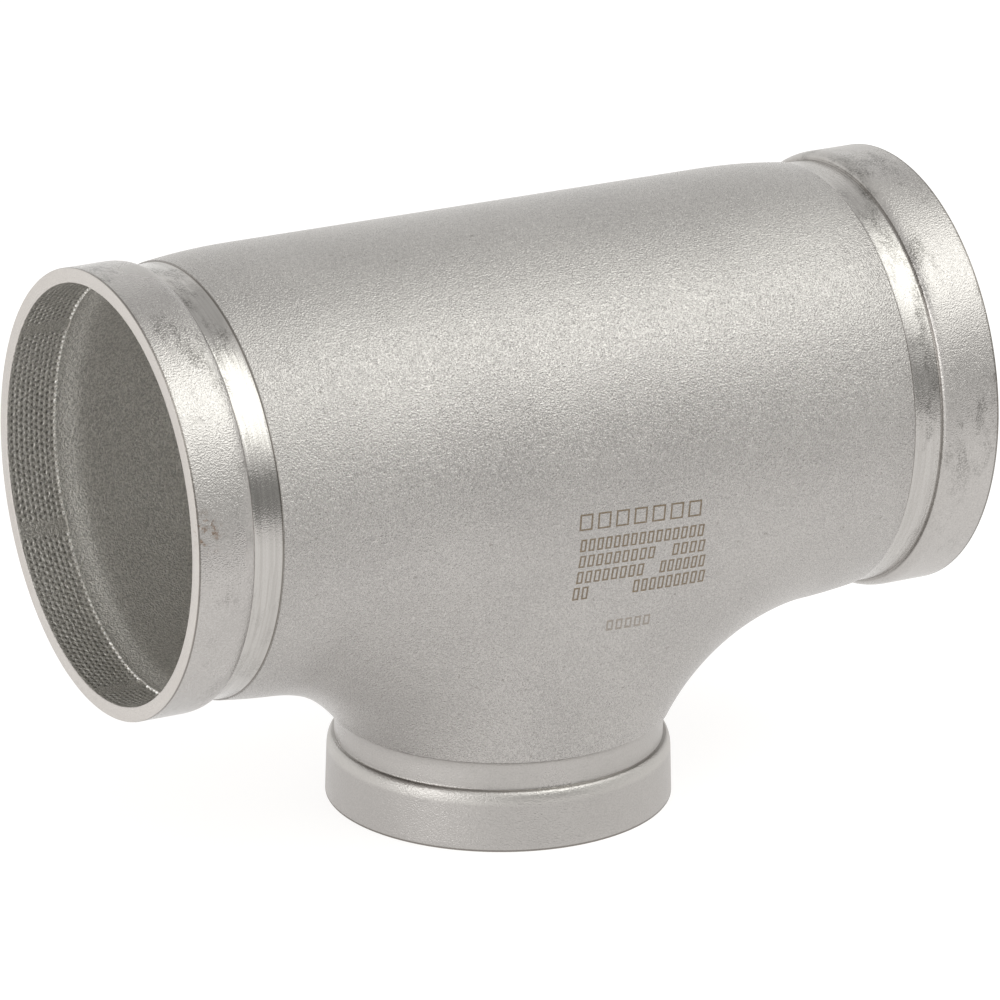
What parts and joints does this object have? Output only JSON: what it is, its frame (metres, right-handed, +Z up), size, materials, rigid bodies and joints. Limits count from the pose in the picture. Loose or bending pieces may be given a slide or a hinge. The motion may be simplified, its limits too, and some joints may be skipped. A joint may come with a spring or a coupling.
{
  "type": "grooved reducing tee",
  "caption": "Stainless steel reducing pipe tee with a rolled groove behind each of its mouths, for clamped pipe couplings.",
  "frame": {"origin": "centre of the branch's end face, which the tee stands on", "axes": "+X along the run's axis, from the left mouth to the right one; +Z up along the branch's axis, from its mouth towards the run; the run's axis is 98.8 mm above the origin"},
  "size_m": [0.2274, 0.1142, 0.1559],
  "materials": {
    "blasted_steel": "bead blasted satin",
    "rolled_steel": "burnished by rolling"
  },
  "bodies": {
    "root": {"tee_body": "blasted_steel", "run_end_left": "rolled_steel", "run_end_right": "rolled_steel", "branch_end": "rolled_steel"}
  },
  "joints": []
}
